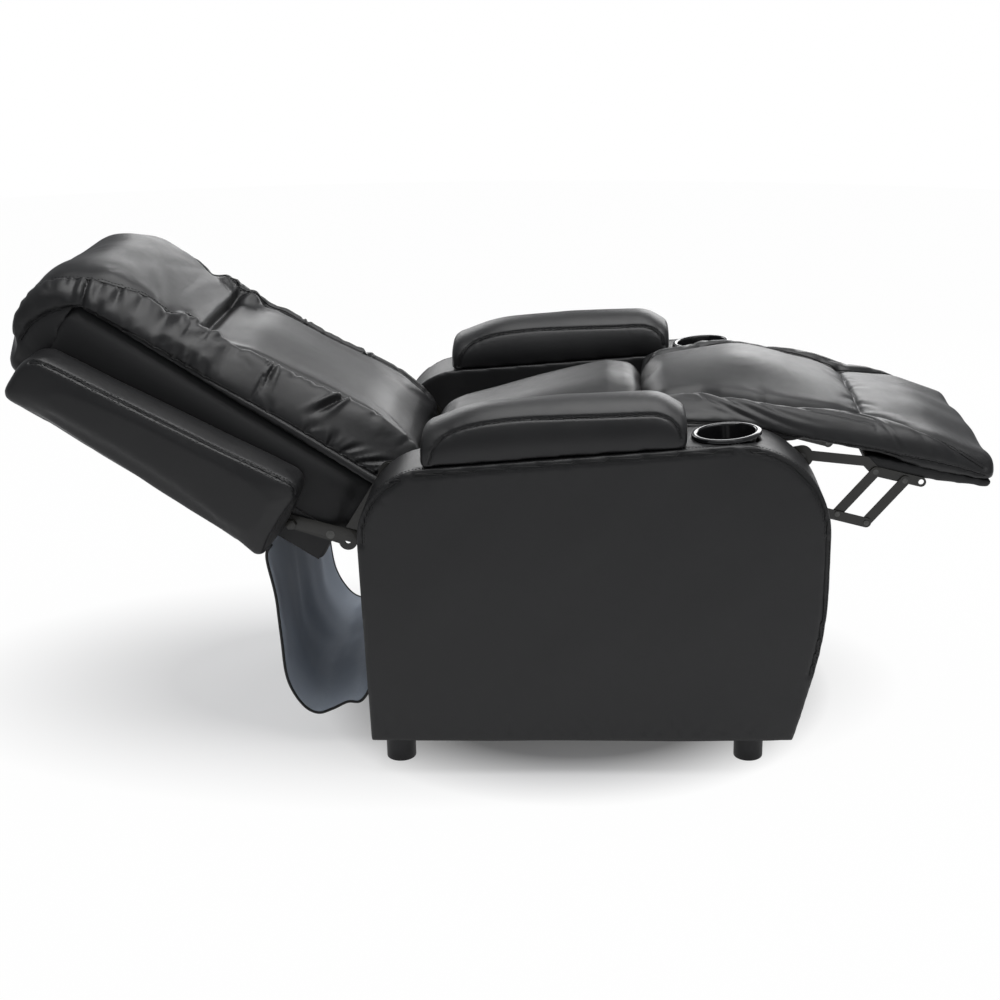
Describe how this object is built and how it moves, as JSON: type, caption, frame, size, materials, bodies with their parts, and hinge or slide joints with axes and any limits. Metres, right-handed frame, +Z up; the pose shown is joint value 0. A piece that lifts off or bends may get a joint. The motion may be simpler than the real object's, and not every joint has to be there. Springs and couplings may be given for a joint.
{
  "type": "pushback recliner",
  "caption": "Padded leatherette pushback recliner with box arms, cup holders and pillow back; leaning back lifts the seat front and swings the footrest out.",
  "frame": {"origin": "on the floor, at the centre of the four feet", "axes": "+Z up, the chair faces -Y, X across the arms (the sitter's right arm is at -X); shown fully reclined"},
  "size_m": [0.78, 1.5794, 0.7958],
  "materials": {
    "leatherette": "semi-matte black leatherette over board",
    "padding": "black leatherette over foam and fibre filling",
    "wood": "plain sawn hardwood and plywood",
    "wrapped_board": "plywood wrapped in black leatherette",
    "painted_steel": "black painted strip steel",
    "rivet_steel": "zinc plated",
    "cup_plastic": "glossy black",
    "foot_plastic": "matte black",
    "cloth": "black lining cloth and webbing"
  },
  "bodies": {
    "base": {"right_arm_outer_panel": "leatherette", "left_arm_outer_panel": "leatherette", "right_arm_inner_panel": "leatherette", "left_arm_inner_panel": "leatherette", "right_arm_band": "leatherette", "left_arm_band": "leatherette", "right_arm_frame": "wood", "left_arm_frame": "wood", "right_arm_pillow": "padding", "left_arm_pillow": "padding", "right_cup_holder": "cup_plastic", "left_cup_holder": "cup_plastic", "right_base_plate": "painted_steel", "left_base_plate": "painted_steel", "feet": "foot_plastic", "base_front_rail": "wood", "base_rear_rail": "wood", "base_plate_bolts": "rivet_steel", "rear_pivot_pins": "rivet_steel", "lift_pins": "rivet_steel", "rear_flap": "cloth"},
    "seat": {"right_seat_rail": "painted_steel", "left_seat_rail": "painted_steel", "right_seat_side_board": "wood", "left_seat_side_board": "wood", "seat_front_board": "wood", "seat_rear_board": "wood", "seat_webbing": "cloth", "seat_front_shelf": "wood", "seat_cushion": "padding", "seat_front_pad": "padding", "front_pivot_pins": "rivet_steel"},
    "footrest": {"right_footrest_arm": "painted_steel", "left_footrest_arm": "painted_steel", "footrest_board": "wrapped_board", "footrest_pad": "padding", "footrest_rivets": "rivet_steel"},
    "front_crank": {"right_front_crank": "painted_steel", "left_front_crank": "painted_steel", "crank_tube": "painted_steel", "crank_rivets": "rivet_steel", "lever_pins": "rivet_steel"},
    "lower_link_pair": {"lower_links": "painted_steel"},
    "upper_link_pair": {"upper_links": "painted_steel"},
    "drive_rod_pair": {"drive_rods": "painted_steel"},
    "lift_link_pair": {"lift_links": "painted_steel"},
    "back": {"right_back_bracket": "painted_steel", "left_back_bracket": "painted_steel", "right_back_post": "wood", "left_back_post": "wood", "right_wing": "padding", "left_wing": "padding", "bracket_bolts": "rivet_steel", "back_bottom_rail": "wood", "back_top_rail": "wood", "back_rear_panel": "wood", "back_core": "padding", "lumbar_pillow": "padding", "head_pillow": "padding"}
  },
  "joints": [
    {"name": "recline", "type": "hinge", "parent": "base", "child": "back", "pos_m": [0, 0.296, 0.464], "axis": [1, 0, 0], "range_deg": [0, 44], "deforming": ["rear_flap"]},
    {"name": "seat_tilt", "type": "hinge", "parent": "base", "child": "seat", "pos_m": [0, 0.296, 0.464], "axis": [1, 0, 0], "range_deg": [0, 7.2]},
    {"name": "footrest_fold", "type": "hinge", "parent": "seat", "child": "footrest", "pos_m": [0, -0.365, 0.49], "axis": [1, 0, 0], "range_deg": [0, 75.5]},
    {"name": "crank_swing", "type": "hinge", "parent": "seat", "child": "front_crank", "pos_m": [0, -0.305, 0.42], "axis": [1, 0, 0], "range_deg": [0, 75.5]},
    {"name": "lower_link_swing", "type": "hinge", "parent": "front_crank", "child": "lower_link_pair", "pos_m": [0, -0.474, 0.377], "axis": [1, 0, 0], "range_deg": [-75.5, 0]},
    {"name": "upper_link_swing", "type": "hinge", "parent": "front_crank", "child": "upper_link_pair", "pos_m": [0, -0.426, 0.392], "axis": [1, 0, 0], "range_deg": [-75.5, 0]},
    {"name": "drive_rod_swing", "type": "hinge", "parent": "back", "child": "drive_rod_pair", "pos_m": [0, 0.34, 0.394], "axis": [1, 0, 0], "range_deg": [-35.5, 0]},
    {"name": "lift_link_swing", "type": "hinge", "parent": "base", "child": "lift_link_pair", "pos_m": [0, -0.153, 0.403], "axis": [1, 0, 0], "range_deg": [0, 38.3]}
  ],
  "couplings": [
    {"joint": "seat_tilt", "follows": "recline", "ratio": 0.15909},
    {"joint": "footrest_fold", "follows": "recline", "ratio": 1.7045},
    {"joint": "crank_swing", "follows": "recline", "ratio": 1.7045},
    {"joint": "lower_link_swing", "follows": "recline", "ratio": -1.7045},
    {"joint": "upper_link_swing", "follows": "recline", "ratio": -1.7045},
    {"joint": "drive_rod_swing", "follows": "recline", "ratio": -0.79993},
    {"joint": "lift_link_swing", "follows": "recline", "ratio": 0.86275}
  ]
}
